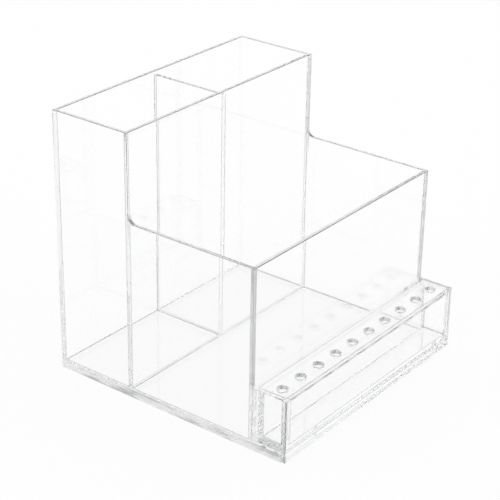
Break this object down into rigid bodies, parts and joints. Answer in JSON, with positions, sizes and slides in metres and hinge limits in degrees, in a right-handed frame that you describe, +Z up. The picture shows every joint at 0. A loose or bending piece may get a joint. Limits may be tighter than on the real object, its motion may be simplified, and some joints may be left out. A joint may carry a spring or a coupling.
{
  "type": "brush holder",
  "caption": "Clear box-shaped brush holder: tall divided rear part, low open front part, and a narrow drawer in front whose top plate has a row of round holes for brush handles.",
  "frame": {"origin": "centre of the whole footprint, at the height of the base's underside", "axes": "+X to the right, +Y to the back, +Z up; the drawer faces -Y and slides along -Y"},
  "size_m": [0.2, 0.195, 0.193],
  "materials": {
    "clear_wall_sheet": "clear cast acrylic sheet, polished faces, flame-polished rims",
    "clear_base_sheet": "thick clear acrylic sheet, polished faces, sawn and faintly frosted edges",
    "clear_drawer_sheet": "clear acrylic sheet, polished faces and rounded, flame-polished front corners"
  },
  "bodies": {
    "caddy": {"base_plate": "clear_base_sheet", "bay_floor": "clear_base_sheet", "left_side_panel": "clear_wall_sheet", "right_side_panel": "clear_wall_sheet", "back_panel": "clear_wall_sheet", "middle_panel": "clear_wall_sheet", "front_panel": "clear_wall_sheet", "rear_divider": "clear_wall_sheet", "bay_back": "clear_wall_sheet", "bay_left_end": "clear_wall_sheet", "bay_right_end": "clear_wall_sheet"},
    "drawer": {"drawer_floor": "clear_drawer_sheet", "drawer_front": "clear_drawer_sheet", "drawer_left_end": "clear_drawer_sheet", "drawer_right_end": "clear_drawer_sheet", "drawer_back": "clear_drawer_sheet", "hole_plate": "clear_drawer_sheet"}
  },
  "joints": [
    {"name": "drawer_slide", "type": "slide", "parent": "caddy", "child": "drawer", "axis": [0, -1, 0], "range_m": [0, 0.018]}
  ]
}
